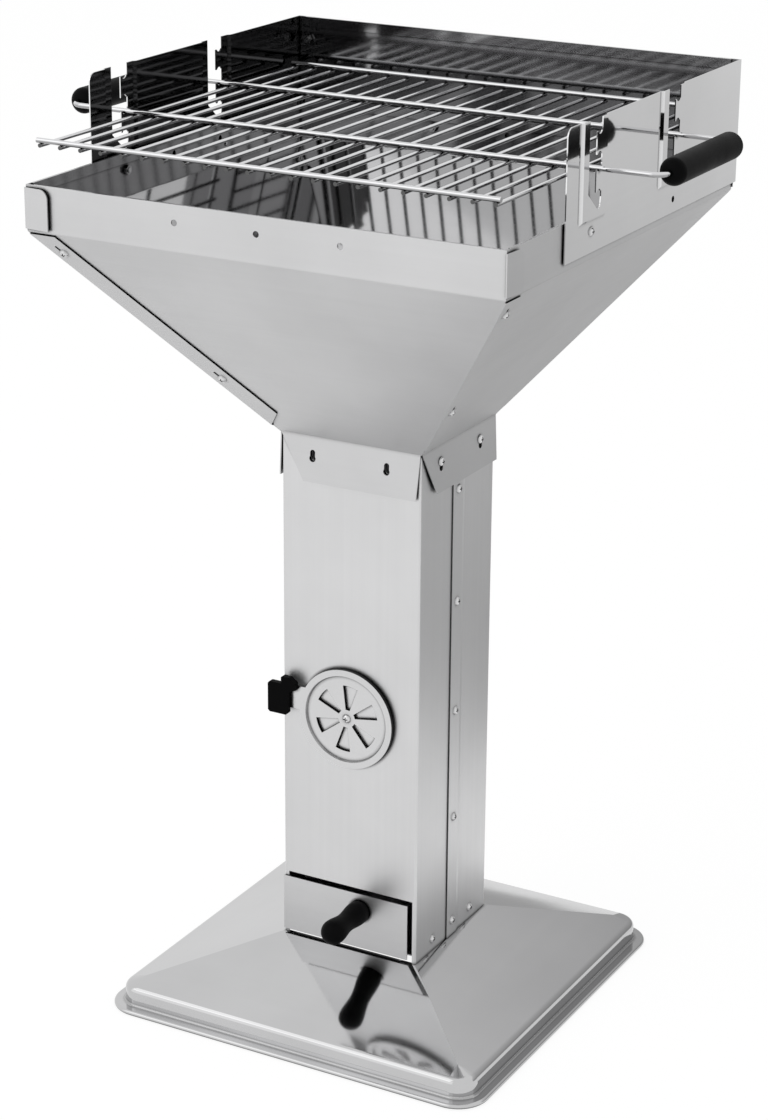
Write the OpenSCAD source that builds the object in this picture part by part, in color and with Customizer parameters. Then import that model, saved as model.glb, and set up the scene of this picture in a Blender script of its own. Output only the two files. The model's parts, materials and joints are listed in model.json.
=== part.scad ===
// Park barbecue on a square pedestal: pressed foot, two-piece folded column with ash drawer and
// rotary vent, four-panel funnel bowl, wind shield and a height-adjustable cooking grate.
// Millimetres, +Z up, +X to the right along the front, +Y to the back, origin on the ground.

/* [Sheet metal] */
// Thickness of every folded sheet
sheet = 1.2; // [0.9:0.1:1.5]
// Gap between two sheets that lap
lap_gap = 0.1; // [0.05:0.05:0.2]
// Outside radius of the folds
fold_r = 2.5; // [1.5:0.5:4]
// Gap between a resting piece and its seat
seat_gap = 0.3; // [0.2:0.1:0.4]
// Radial clearance of a piece that turns on a shaft
running_gap = 0.05; // [0.02:0.01:0.08]

/* [Screws] */
// Shank diameter of the screws
screw_d = 5; // [4:0.5:6]
// Diameter of the holes for the screws
screw_hole_d = 5.5; // [4.5:0.5:6.5]
// Diameter of the pan heads
head_d = 9.4; // [8:0.2:11]
// Height of the pan heads
head_h = 3; // [2:0.2:4]
// Width of the nuts across their flats
nut_w = 8; // [7:0.5:10]
// Height of the nuts
nut_h = 4; // [3:0.5:5]
// Shank left beyond a nut
screw_spare = 1.2; // [0.5:0.1:3]
// Width of the cross in a screw head
cross_w = 1.1; // [0.8:0.1:1.4]
// Length of the cross in a screw head
cross_l = 4.8; // [4:0.2:6]
// Depth of the cross in a screw head
cross_depth = 1.2; // [0.8:0.1:1.6]

/* [Foot] */
// Width of the foot over its lip
foot_w = 430; // [380:5:480]
// Width of the lip around the pan
lip_w = 12; // [9:0.5:16]
// Height of the pan's shoulder above the ground
pan_h = 24.4; // [15:0.2:35]
// Rise of the pyramid from the shoulder to the column
foot_rise = 39; // [25:1:60]
// Corner radius of the pan
pan_corner_r = 22; // [18:1:30]
// Radius of the pan's rounded shoulder
shoulder_r = 8; // [4:0.5:8]
// Radius of the roll along the lip
lip_roll_r = 2.6; // [2:0.1:3.5]
// Radius between the wall and the lip
lip_fillet_r = 2.5; // [1:0.5:4]
// Width of the flat under the rolled lip
lip_hem_w = 4; // [3:0.5:5]
// Height of the tabs that stand inside the column
tab_h = 26; // [22:1:32]
// Distance of the tabs' ends from the column's corners
tab_end = 19; // [15:1:25]

/* [Column] */
// Width of the square column
col_w = 154; // [140:1:165]
// Height of the column
col_h = 541; // [450:1:600]
// Corner radius of the column
col_corner_r = 2.5; // [2:0.5:5]
// Distance of the side seam in front of the middle
seam_front = 11; // [0:0.1:15]
// Width of the flat lap behind the seam
lap_w = 20; // [18:0.5:26]
// Length of the joggle behind the lap
joggle_l = 6; // [4:0.5:10]
// Distance of the seam screws behind the seam
seam_screw_in = 10.8; // [8:0.1:12]
// Number of screws in each side seam
seam_screws = 5; // [3:1:7]
// Height of the first seam screw above the column's bottom
seam_screw_start = 17; // [14:0.5:20]
// Distance of the last seam screw below the column's top
seam_screw_end = 52; // [50:1:80]
// Distance of the base screws from the column's corners
base_screw_in = 36; // [28:0.5:44]
// Height of the base screws above the column's bottom
base_screw_z = 13.4; // [10:0.2:16]

/* [Ash drawer] */
// Distance of the opening from the column's left side
opening_left = 5.5; // [4:0.5:10]
// Distance of the opening from the column's right side
opening_right = 4; // [4:0.5:10]
// Height of the opening
opening_h = 69.6; // [60:0.2:90]
// Distance of the front plate from the column's right side
plate_right = 9; // [6:0.5:12]
// Height of the front plate
plate_h = 60.8; // [50:0.2:62]
// Gap under the front plate
plate_gap = 3.5; // [1.5:0.5:5]
// Distance of the tray from the column's left side
tray_left = 10; // [8:0.5:14]
// Distance of the tray from the column's right side
tray_right = 19; // [14:0.5:24]
// Distance of the tray from the column's back
tray_back = 13; // [8:0.5:20]
// Height of the drawer tray
tray_h = 50; // [30:1:52]
// Width of the runners' ledges
ledge_w = 22; // [16:0.5:26]
// Height of the runners
runner_h = 22; // [20:0.5:24]

/* [Knob] */
// Length of the knob
knob_l = 66.6; // [50:0.2:75]
// Diameter of the knob's end
knob_d = 25.8; // [22:0.2:28]
// Diameter of the knob's swelling near the plate
knob_bulge_d = 24.6; // [22:0.2:28]
// Diameter of the knob's waist
knob_waist_d = 20.4; // [14:0.2:21]
// Diameter of the knob's foot
knob_foot_d = 19.4; // [14:0.2:21]
// Sideways place of the knob
knob_x = 13.2; // [-15:0.2:15]
// Height of the knob above the plate's bottom
knob_z = 42.4; // [22:0.2:45]
// Depth of the screw in the knob
knob_screw_l = 18; // [10:1:25]

/* [Vent] */
// Diameter of the vent disc
vent_d = 105; // [90:1:110]
// Height of the vent's middle above the column's bottom
vent_z = 256.2; // [180:0.2:350]
// Sideways place of the vent
vent_x = -2.1; // [-8:0.1:8]
// Number of openings
vents = 6; // [4:1:8]
// Inner radius of the openings
vent_r1 = 9.5; // [8:0.5:14]
// Outer radius of the openings
vent_r2 = 35.5; // [28:0.5:38]
// Angle of each opening
vent_span = 27.5; // [20:0.5:28]
// Angle of the first opening
vent_turn = 23; // [0:1:60]
// Angle by which the disc stands ajar
vent_ajar = 4.5; // [0:0.5:8]
// Gap between the disc and the column
vent_gap = 2; // [0.8:0.1:3]
// Height of the disc's raised rim
bead_h = 2.6; // [2:0.1:5]
// Width of the disc's raised rim
bead_w = 6.5; // [5:0.5:9]
// Depth of the disc's edge turned back to the column
bead_back = 5; // [2:0.1:5.2]
// Width of the disc's ear
ear_w = 25; // [16:1:30]
// Reach of the disc's ear past the rim
ear_reach = 22; // [18:1:30]
// Size of the plastic tab, across
tab_grip_w = 23; // [16:1:26]
// Size of the plastic tab, up
tab_grip_h = 33; // [24:1:38]
// Thickness of the plastic tab
tab_grip_t = 6; // [5:0.5:10]
// Distance of the tab's middle past the disc's rim
tab_grip_reach = 22.4; // [16:0.2:34]

/* [Funnel] */
// Width of the funnel's rim
rim_w = 496; // [440:2:520]
// Rise of the funnel's slopes
slope_h = 213.5; // [160:0.5:260]
// Height of the rim
rim_h = 44; // [36:1:60]
// Height of the hem inside the rim
rim_hem_h = 10; // [6:0.5:11]
// Gap inside the hems
hem_gap = 0.4; // [0.2:0.1:0.8]
// Distance of the hems from the corners
hem_end = 8; // [6:1:16]
// Gap between the column's top and the funnel
neck_gap = 3.6; // [2:0.2:8]
// Height of the skirts over the column
skirt_h = 46; // [36:1:56]
// Outward lean of the skirts at their bottom
skirt_flare = 3.5; // [0:0.5:5]
// Slant of the skirts' left end
skirt_slant = 27; // [10:1:32]
// Slant of the skirts' right end
skirt_relief = 3; // [1:0.5:6]
// Width of the seam strips, measured level
strip_w = 28; // [22:1:32]
// Distance from the neck to the seam strips' corner end, up the slope
strip_low = 9; // [6:1:14]
// Distance from the neck to the seam strips' inner end, up the slope
strip_cut = 31; // [16:1:36]
// Distance from the corner to the seam screws
strip_screw_in = 14; // [11:0.5:17]
// Distance from the neck to the lower seam screw, up the slope
strip_screw_low = 78; // [50:1:100]
// Distance from the neck to the upper seam screw, up the slope
strip_screw_high = 247; // [150:1:255]
// Length of the corner flaps on the rim
flap_w = 26; // [18:1:32]
// Corner radius of the flaps
flap_r = 9; // [4:1:12]
// Angle by which the two front flaps spring open
flap_angle = 6; // [0:0.5:9]
// Distance between the holes in the rim
rim_hole_pitch = 86; // [70:1:100]
// Height of the rim holes above the lower fold
rim_hole_z = 27.2; // [20:0.2:28]
// Diameter of the rim holes
rim_hole_d = 6.2; // [5:0.2:7]
// Distance of the spare hole at the sides from the middle, to the back
spare_hole_y = 96.3; // [90:0.1:120]
// Height of the spare hole above the lower fold
spare_hole_z = 20.4; // [14:0.2:28]
// Distance of the keyholes from the column's corners
keyhole_in = 36; // [31:0.5:44]
// Distance of the keyholes' screws below the neck
keyhole_drop = 16; // [12:0.5:20]
// Drop from a keyhole's slot to its round end
keyhole_l = 6; // [4:0.5:8]
// Diameter of the round end of the keyholes
keyhole_d = 7; // [6.5:0.5:9]

/* [Wind shield] */
// Height of the shield above the rim
shield_rise = 84.5; // [70:0.5:110]
// Distance of the shield's bottom above the lower fold
shield_start = 7.5; // [4:0.5:12]
// Distance of the side shields' front edge before the middle
shield_front = 139; // [125:1:170]
// Radius of the side shields' front corner
shield_corner_r = 9; // [4:1:16]
// Width of the flange at the back of the side shields
return_w = 24; // [20:1:32]
// Height of the hem on the back shield
back_hem_h = 10; // [6:0.5:12]
// Distance of the corner bolts from the shield's side
corner_bolt_in = 12; // [10:0.5:14]
// Distance of the upper corner bolts below the top
corner_bolt_top = 23; // [18:1:30]
// Distance of the lower corner bolts below the top
corner_bolt_low = 66; // [50:1:68]
// Half width of the raised panels round the slots
raise_half = 27; // [22:1:32]
// Height of the raised panels
raise_h = 2.5; // [1.5:0.5:4]
// Width of the raised panels' sloping edge
raise_ramp = 3; // [2:0.5:5]
// Distance of the raised panels' bottom above the shield's bottom
raise_start = 29; // [26:1:32]

/* [Slots] */
// Distance of the slots from the middle
slot_y = 86; // [78:1:92]
// Half width of the slots
slot_half = 13.5; // [12:0.5:15]
// Distance between the resting heights
level_pitch = 34; // [30:1:38]
// Height of the lowest rest above the lower fold
level_low = 46; // [42:0.5:50]
// Distance of the wire behind the slot's middle when it rests
rest_back = 8; // [7.5:0.5:9]
// Radius of the rests
rest_r = 4.6; // [4:0.2:5]
// Width from the slot's middle to the front of the teeth
tooth_front = 2.2; // [2:0.1:2.6]
// Height of a tooth's horns
horn_h = 2.5; // [1.5:0.5:3]
// Height of a tooth between its rests
tooth_h = 15.5; // [12:0.5:18]
// Drop of the slot's slanted bottom
slot_slant = 12; // [8:1:14]

/* [Cooking grate] */
// Diameter of the long wires
wire_d = 5; // [4:0.5:6]
// Diameter of the cross wires
cross_d = 4; // [3:0.5:5]
// Number of cross wires
cross_wires = 22; // [14:1:24]
// Distance between the cross wires
cross_pitch = 22.4; // [20:0.2:23]
// Sideways offset of the grid on the bail
grid_shift = -5; // [-5:1:5]
// Distance of the front wire from the middle
grid_front = 233; // [200:1:236]
// Distance of the rear wire from the middle
grid_back = 226; // [200:1:232]
// Length of the long wires past the grid
wire_end = 4; // [2:0.5:5]
// Length of the cross wires past the long wires' middles
cross_end = 2; // [1:0.5:5]
// Distance from the middle to the grips
grip_x = 315; // [300:1:330]
// Bend radius of the bail
bail_r = 13; // [9:1:18]
// Diameter of the grips
grip_d = 26; // [20:1:32]
// Edge radius of the grips
grip_edge_r = 9.5; // [2:0.5:10]

/* [Charcoal grate] */
// Length of the bars
coal_w = 300; // [220:2:340]
// Diameter of the bars
coal_bar_d = 5; // [4:0.5:6]
// Number of bars
coal_bars = 12; // [8:1:12]
// Distance between the bars
coal_pitch = 23; // [18:1:25]
// Distance of the two carriers from the middle
carrier_x = 90; // [60:5:110]

/* [Hidden] */
$fn = 48;
over = 1;
bend_steps = 3;
bevel_share = 0.09;
knob_swell_share = 0.62;
tab_across_share = [0.67, 0.73, 1.08, 1.39];
tab_above_share = [0.21, 0.24, 0.08, -0.14, -0.26];
tab_drop_share = 0.1;
strip_slot_share = 2.2;

steel = [0.80, 0.80, 0.81];
polished = [0.70, 0.70, 0.72];
plated = [0.85, 0.85, 0.87];
black = [0.08, 0.08, 0.08];

col_half = col_w / 2;
col_in = col_half - sheet;
col_z = pan_h + foot_rise;
col_top = col_z + col_h;
lap_face = col_half + lap_gap + sheet;
seam_y = -seam_front;
seam_screw_y = seam_y + seam_screw_in;
seam_screw_step = (col_h - seam_screw_start - seam_screw_end) / (seam_screws - 1);
tab_face = col_in - lap_gap;
tab_in = tab_face - sheet;
runner_face = tab_in - lap_gap;
runner_in = runner_face - sheet;
runner_z = col_z + sheet + lap_gap;
tray_z = runner_z + sheet + seat_gap;
plate_z = col_z + plate_gap;
plate_back = col_half + seat_gap;
plate_face = plate_back + sheet;
tray_front = plate_back - lap_gap;
plate_w = col_w - plate_right;
tray_w = col_w - tray_left - tray_right;
tray_l = col_w - tray_back;
tab_w = col_w - 2 * tab_end;
base_screw_x = col_half - base_screw_in;
keyhole_x = col_half - keyhole_in;
knob_axis_z = plate_z + knob_z;
vent_axis_z = col_z + vent_z;
vent_back = col_half + vent_gap;
vent_face = vent_back + sheet;

neck_z = col_top + neck_gap;
neck_half = col_half + lap_gap + sheet;
rim_half = rim_w / 2;
fold_z = neck_z + slope_h;
rim_z = fold_z + rim_h;
lean = atan((rim_half - neck_half) / slope_h);
slope_l = slope_h / cos(lean);
keyhole_z = neck_z - keyhole_drop;
skirt_lean = atan(skirt_flare / skirt_h);
skirt_face = neck_half + (keyhole_drop + head_d / 2) * tan(skirt_lean);
rim_hole_h = fold_z + rim_hole_z;

shield_in = rim_half + lap_gap + sheet + lap_gap;
shield_out = shield_in + sheet;
shield_low = fold_z + shield_start;
shield_top = rim_z + shield_rise;
back_out = shield_in + sheet;
return_in = back_out + lap_gap;
return_out = return_in + sheet;
raise_low = shield_low + raise_start;
bolt_x = shield_in - corner_bolt_in;

rest_low = fold_z + level_low;
wire_z = rest_low + level_pitch + seat_gap + wire_d / 2;
bail_front = -slot_y + rest_back;
bail_back = slot_y + rest_back;
cross_z = wire_z - wire_d / 2 - cross_d / 2;
grid_half = (cross_wires - 1) * cross_pitch / 2;
grip_l = bail_back - bail_front - 2 * bail_r - 2 * seat_gap;

coal_half = coal_w / 2;
coal_seat_z = neck_z + (coal_half + seat_gap + sheet / cos(lean) - neck_half) / tan(lean);
coal_z = coal_seat_z + coal_bar_d / 2;
coal_span = (coal_bars - 1) * coal_pitch;
carrier_l = coal_span + 2 * coal_bar_d;

// Folded sheet: paths run along the outside face, and the sheet lies to their left.
function unit(v) = v / norm(v);
function left_of(v) = [-v[1], v[0]];
function side_at(path, i) = left_of(unit(path[i + 1] - path[i]));
function shifted(path, t) = let (last = len(path) - 1) [for (i = [0 : last])
    i == 0 ? path[0] + t * side_at(path, 0)
    : i == last ? path[last] + t * side_at(path, last - 1)
    : let (a = side_at(path, i - 1), b = side_at(path, i)) path[i] + t * (a + b) / (1 + a * b)];
function reversed(list) = [for (i = [len(list) - 1 : -1 : 0]) list[i]];
// One fold as a short arc between its two tangent points
function fold(before, at, after, r, steps = bend_steps) = let (
        u = unit(before - at),
        v = unit(after - at),
        half = acos(u * v) / 2,
        reach = r / tan(half),
        centre = at + unit(u + v) * r / sin(half),
        from = at + u * reach - centre,
        to = at + v * reach - centre)
    [for (k = [0 : steps]) let (w = unit(from * (1 - k / steps) + to * k / steps)) centre + r * w];
function folded(path, r) = [for (i = [0 : len(path) - 1])
    each (i == 0 || i == len(path) - 1 ? [path[i]] : fold(path[i - 1], path[i], path[i + 1], r))];

module sheet_outline(path) {
    polygon(concat(path, reversed(shifted(path, sheet))));
}

// Draws a flat shape given in distance outwards and height, and runs it along Y
module run_along_y(length) {
    rotate([90, 0, 0]) linear_extrude(length, center = true) children();
}

// Draws a flat shape given in Y and height, and runs it along X from a start
module run_along_x(start, length) {
    translate([start, 0, 0]) rotate([90, 0, 90]) linear_extrude(length) children();
}

module face_right(x, y, z) {
    translate([x, y, z]) rotate([0, 90, 0]) children();
}

module face_front(x, y, z) {
    translate([x, y, z]) rotate([90, 0, 0]) children();
}

module face_back(x, y, z) {
    translate([x, y, z]) rotate([-90, 0, 0]) children();
}

module both_sides() {
    children();
    mirror([1, 0, 0]) children();
}

module left_and_right() {
    children();
    rotate([0, 0, 180]) children();
}

module quarter(turns) {
    rotate([0, 0, 90 * turns]) children();
}

module drill(d, depth) {
    translate([0, 0, -depth]) cylinder(d = d, h = depth + over);
}

module round_square(w, r) {
    square([w, w - 2 * r], center = true);
    square([w - 2 * r, w], center = true);
    for (x = [-1, 1], y = [-1, 1]) translate([x, y] * (w / 2 - r)) circle(r);
}

// Fasteners stand on the surface under their head, with the shank going down
module pan_head() {
    dome = (head_d * head_d / 4 + head_h * head_h) / (2 * head_h);
    difference() {
        rotate_extrude() intersection() {
            translate([0, head_h - dome]) circle(dome, $fn = 96);
            square([head_d / 2, head_h]);
        }
        for (turn = [0, 90]) rotate(turn)
            translate([-cross_l / 2, -cross_w / 2, head_h - cross_depth]) cube([cross_l, cross_w, cross_depth + over]);
    }
}

module screw(grip) {
    reach = grip + nut_h + screw_spare;
    pan_head();
    translate([0, 0, -reach]) cylinder(d = screw_d, h = reach);
}

module nut(grip) {
    translate([0, 0, -grip - nut_h]) difference() {
        cylinder(d = nut_w / cos(30), h = nut_h, $fn = 6);
        translate([0, 0, -over]) cylinder(d = screw_d + 2 * running_gap, h = nut_h + 2 * over);
    }
}

// Foot
foot_half = foot_w / 2;
pan_half = foot_half - lip_w;
foot_lean = atan(foot_rise / (pan_half - col_half));
corner_centre = pan_half - pan_corner_r;

// Runs a profile round the pan: distances out are counted from the corners' centres
module around_pan() {
    for (turns = [0 : 3]) quarter(turns) {
        translate([corner_centre, 0, 0]) run_along_y(2 * corner_centre) children();
        translate([corner_centre, corner_centre, 0]) rotate_extrude(angle = 90) children();
    }
}

// The pan's wall and rounded shoulder, seen from the end, sunk under its outside face by a drop
module shoulder_profile(drop) {
    top = pan_h + pan_corner_r * tan(foot_lean) - drop / cos(foot_lean);
    mid = [pan_corner_r - shoulder_r, pan_h + shoulder_r * tan(foot_lean) - shoulder_r / cos(foot_lean)];
    r = shoulder_r - drop;
    polygon([[0, 0], [pan_corner_r - drop, 0], [pan_corner_r - drop, mid[1]],
        mid + r * [sin(foot_lean), cos(foot_lean)], [0, top]]);
    translate(mid) circle(r);
}

module foot_block(drop) {
    peak = col_z - drop;
    crown = col_half + (drop / cos(foot_lean) - drop) / tan(foot_lean);
    reach = foot_w;
    fall = (reach - crown) * tan(foot_lean);
    roof = [[-reach, peak - fall], [-reach, -fall - over], [reach, -fall - over], [reach, peak - fall],
        [crown, peak], [-crown, peak]];
    intersection() {
        union() {
            linear_extrude(col_z) square(2 * corner_centre, center = true);
            around_pan() shoulder_profile(drop);
        }
        run_along_y(2 * reach) polygon(roof);
        rotate(90) run_along_y(2 * reach) polygon(roof);
    }
}

module lip_profile() {
    out = pan_corner_r + foot_half - pan_half;
    roll = out - lip_roll_r;
    top = 2 * lip_roll_r;
    translate([pan_corner_r - sheet, top - sheet]) square([roll - pan_corner_r + sheet, sheet]);
    translate([roll - lip_hem_w, 0]) square([lip_hem_w, sheet]);
    intersection() {
        difference() {
            translate([roll, lip_roll_r]) circle(lip_roll_r);
            translate([roll, lip_roll_r]) circle(lip_roll_r - sheet);
        }
        translate([roll, 0]) square([lip_roll_r, top]);
    }
    difference() {
        translate([pan_corner_r - sheet / 2, top - sheet / 2]) square(lip_fillet_r + sheet / 2);
        translate([pan_corner_r + lip_fillet_r, top + lip_fillet_r]) circle(lip_fillet_r);
    }
}

module foot_tab(turns) {
    quarter(turns) difference() {
        translate([tab_in, -tab_w / 2, col_z - sheet]) cube([sheet, tab_w, tab_h + sheet]);
        for (y = [-base_screw_x, base_screw_x]) face_right(tab_face, y, col_z + base_screw_z) drill(screw_hole_d, 2 * sheet);
    }
}

module foot() {
    low = 2 * lip_roll_r - sheet;
    color(polished) difference() {
        union() {
            difference() {
                foot_block(0);
                foot_block(sheet);
                translate([0, 0, -over]) linear_extrude(over + low) square(foot_w, center = true);
                linear_extrude(col_z + over) square(2 * tab_in, center = true);
            }
            around_pan() lip_profile();
            for (turns = [0 : 2]) foot_tab(turns);
        }
        both_sides() face_right(tab_face, seam_screw_y, col_z + seam_screw_start) drill(screw_hole_d, 2 * sheet);
    }
}

// Column
module column_ring() {
    difference() {
        round_square(col_w, col_corner_r);
        round_square(2 * col_in, col_corner_r - sheet);
    }
}

module vent_sectors(turn, span) {
    for (i = [0 : vents - 1]) rotate(turn + i * 360 / vents) intersection() {
        difference() {
            circle(vent_r2);
            circle(vent_r1);
        }
        polygon([[0, 0], vent_d * [cos(span / 2), -sin(span / 2)], vent_d * [cos(span / 2), sin(span / 2)]]);
    }
}

// A hole that lets the collar's screw be set at any height of its keyhole
module collar_hole() {
    drill(screw_hole_d, 2 * sheet);
    translate([keyhole_l, 0, 0]) drill(screw_hole_d, 2 * sheet);
    translate([0, -screw_hole_d / 2, -2 * sheet]) cube([keyhole_l, screw_hole_d, 2 * sheet + over]);
}

module collar_holes(y_sides) {
    for (x = [-keyhole_x, keyhole_x]) {
        if (y_sides > 0) face_back(x, col_half, keyhole_z) rotate(90) collar_hole();
        if (y_sides < 0) face_front(x, -col_half, keyhole_z) rotate(-90) collar_hole();
    }
    both_sides() face_right(col_half, y_sides * keyhole_x, keyhole_z) collar_hole();
}

module seam_places() {
    for (i = [0 : seam_screws - 1])
        both_sides() face_right(lap_face, seam_screw_y, col_z + seam_screw_start + i * seam_screw_step) children();
}

module column_front() {
    lap_end = seam_y + lap_w - lap_gap;
    color(steel) difference() {
        translate([0, 0, col_z]) linear_extrude(col_h) difference() {
            column_ring();
            translate([-col_w, lap_end]) square([2 * col_w, col_w]);
        }
        translate([opening_left - col_half, -col_half - over, col_z - over])
            cube([col_w - opening_left - opening_right, sheet + 2 * over + col_corner_r, opening_h + over]);
        face_front(vent_x, -col_half, vent_axis_z) {
            translate([0, 0, -2 * sheet]) linear_extrude(2 * sheet + over)
                vent_sectors(vent_turn + vent_ajar + 180 / vents, vent_span);
            drill(screw_hole_d, 2 * sheet);
        }
        collar_holes(-1);
        seam_places() drill(screw_hole_d, 3 * sheet);
        both_sides() face_right(col_half, -base_screw_x, col_z + base_screw_z) drill(screw_hole_d, 2 * sheet);
    }
}

module column_rear() {
    flat_end = seam_y + lap_w;
    joggle_end = flat_end + joggle_l;
    lap_top = neck_z - skirt_h - lap_gap;
    lap = [[lap_face, seam_y], [lap_face, flat_end], [col_half, joggle_end]];
    corner = fold([col_half, 0], [col_half, col_half], [0, col_half], col_corner_r, 2 * bend_steps);
    half = concat(lap, corner);
    color(steel) difference() {
        translate([0, 0, col_z]) linear_extrude(col_h)
            sheet_outline(concat(half, [for (p = reversed(half)) [-p[0], p[1]]]));
        translate([-col_w, seam_y - over, lap_top]) cube([2 * col_w, joggle_end - seam_y + over, col_h]);
        collar_holes(1);
        seam_places() drill(screw_hole_d, 3 * sheet);
        both_sides() face_right(col_half, base_screw_x, col_z + base_screw_z) drill(screw_hole_d, 2 * sheet);
        for (x = [-base_screw_x, base_screw_x]) face_back(x, col_half, col_z + base_screw_z) drill(screw_hole_d, 2 * sheet);
    }
}

lap_grip = 2 * sheet + lap_gap;
base_grip = col_half - runner_in;
rear_base_grip = col_half - tab_in;

module column_seam_screws() {
    color(plated) for (i = [0 : seam_screws - 1]) both_sides()
        face_right(lap_face, seam_screw_y, col_z + seam_screw_start + i * seam_screw_step)
            screw(i == 0 ? lap_face - runner_in : lap_grip);
}

module column_seam_nuts() {
    color(plated) for (i = [0 : seam_screws - 1]) both_sides()
        face_right(lap_face, seam_screw_y, col_z + seam_screw_start + i * seam_screw_step)
            nut(i == 0 ? lap_face - runner_in : lap_grip);
}

module side_base_places() {
    for (y = [-base_screw_x, base_screw_x]) both_sides() face_right(col_half, y, col_z + base_screw_z) children();
}

module rear_base_places() {
    for (x = [-base_screw_x, base_screw_x]) face_back(x, col_half, col_z + base_screw_z) children();
}

module base_screws() {
    color(plated) {
        side_base_places() screw(base_grip);
        rear_base_places() screw(rear_base_grip);
    }
}

module base_nuts() {
    color(plated) {
        side_base_places() nut(base_grip);
        rear_base_places() nut(rear_base_grip);
    }
}

// Ash drawer
module drawer_runner() {
    runner_l = tab_w + base_screw_z;
    path = [[runner_face, runner_z + runner_h], [runner_face, runner_z], [runner_face - ledge_w, runner_z]];
    color(steel) difference() {
        run_along_y(runner_l) polygon(concat(path, reversed(shifted(path, -sheet))));
        for (y = [-base_screw_x, seam_screw_y, base_screw_x])
            face_right(runner_face, y, col_z + (y == seam_screw_y ? seam_screw_start : base_screw_z))
                drill(screw_hole_d, 2 * sheet);
    }
}

module drawer_runner_right() {
    drawer_runner();
}

module drawer_runner_left() {
    mirror([1, 0, 0]) drawer_runner();
}

module drawer_tray() {
    color(steel) difference() {
        translate([tray_left - col_half, -tray_front, tray_z]) cube([tray_w, tray_l, tray_h]);
        translate([tray_left - col_half + sheet, sheet - tray_front, tray_z + sheet])
            cube([tray_w - 2 * sheet, tray_l - 2 * sheet, tray_h]);
        face_front(knob_x, -tray_front, knob_axis_z) drill(screw_hole_d, 2 * sheet);
    }
}

module drawer_front() {
    color(steel) difference() {
        translate([-col_half, -plate_face, plate_z]) cube([plate_w, sheet, plate_h]);
        face_front(knob_x, -plate_face, knob_axis_z) drill(screw_hole_d, 2 * sheet);
    }
}

module drawer_knob() {
    end_r = knob_d / 2;
    bulge_r = knob_bulge_d / 2;
    waist_r = knob_waist_d / 2;
    foot_r = knob_foot_d / 2;
    swell = bulge_r * knob_swell_share;
    tip = knob_l - end_r;
    half = (tip - swell) / 2;
    profile = concat([[0, 0], [foot_r, 0]],
        [for (k = [1 : 5]) [foot_r + (bulge_r - foot_r) * sin(k * 18), swell * (1 - cos(k * 18))]],
        [for (k = [1 : 8]) [waist_r + (bulge_r - waist_r) * (1 + cos(k * 22.5)) / 2, swell + half * k / 8]],
        [for (k = [1 : 8]) [waist_r + (end_r - waist_r) * (1 - cos(k * 22.5)) / 2, swell + half * (1 + k / 8)]],
        [for (k = [1 : 9]) [end_r * cos(k * 10), tip + end_r * sin(k * 10)]]);
    color(black) face_front(knob_x, -plate_face, knob_axis_z) difference() {
        rotate_extrude() polygon(profile);
        translate([0, 0, -over]) cylinder(d = screw_d + 2 * running_gap, h = knob_screw_l + over);
    }
}

module knob_screw() {
    shank = knob_screw_l + plate_face - tray_front + sheet - seat_gap;
    color(plated) face_back(knob_x, sheet - tray_front, knob_axis_z) {
        pan_head();
        translate([0, 0, -shank]) cylinder(d = screw_d, h = shank);
    }
}

// Vent
vent_r = vent_d / 2;
pivot_r = screw_d / 2;
rim_top = vent_gap + sheet + bead_h;

module vent_place() {
    face_front(vent_x, -col_half, vent_axis_z) children();
}

module vent_disc() {
    flat = vent_gap + sheet;
    path = [[vent_r, rim_top - bead_back], [vent_r, rim_top], [vent_r - bead_w, rim_top],
        [vent_r - bead_w - bead_h / 2, flat], [pivot_r + running_gap, flat]];
    color(polished) vent_place() {
        difference() {
            rotate_extrude($fn = 96) sheet_outline(path);
            linear_extrude(rim_top + over) vent_sectors(vent_turn, vent_span);
        }
        translate([-vent_r - ear_reach, 0, rim_top - sheet]) cube([ear_reach + bead_w, ear_w, sheet]);
    }
}

module vent_tab() {
    mid = -vent_r - tab_grip_reach;
    low = (ear_w - tab_grip_h) / 2 - ear_w * tab_drop_share;
    high = low + tab_grip_h;
    bevel = tab_grip_w * bevel_share;
    left = mid - tab_grip_w / 2;
    right = mid + tab_grip_w / 2;
    across = [for (share = tab_across_share) left + tab_grip_w * share];
    above = [for (share = tab_above_share) high + tab_grip_h * share];
    block = [[left, high - bevel], [left + bevel, high], [across[0], high], [across[0], above[0]], [across[1], above[1]],
        [across[2], above[1]], [across[3], above[2]], [across[3], above[3]], [right, above[4]], [right, low + bevel],
        [right - bevel, low], [left + bevel, low], [left, low + bevel]];
    color(black) vent_place() translate([0, 0, rim_top + lap_gap]) linear_extrude(tab_grip_t) polygon(block);
}

module vent_washer() {
    color(plated) vent_place() difference() {
        cylinder(d = head_d, h = vent_gap - lap_gap);
        translate([0, 0, -over]) cylinder(d = screw_hole_d, h = vent_gap + 2 * over);
    }
}

vent_grip = vent_face - col_half + lap_gap + sheet;

module vent_pivot() {
    color(plated) vent_place() translate([0, 0, vent_grip - sheet]) screw(vent_grip);
}

module vent_nut() {
    color(plated) vent_place() translate([0, 0, vent_grip - sheet]) nut(vent_grip);
}

// Funnel: each panel wraps its right end, seen from outside, round the corner onto the next one
panel_path = [[neck_half + skirt_flare, neck_z - skirt_h], [neck_half, neck_z], [rim_half, fold_z], [rim_half, rim_z]];
wrap = lap_gap + sheet;
panel_l = 2 * (rim_half + wrap + over);

// Distance of a slope's outside face at a height
function corner_at(z) = neck_half + (z - neck_z) * tan(lean);
// Half width of a panel at its folds, from the neck up, for a given lap outside its face
function ends_at(out) = let (p = shifted(panel_path, -out)) [p[1], p[2], p[3]];

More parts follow.
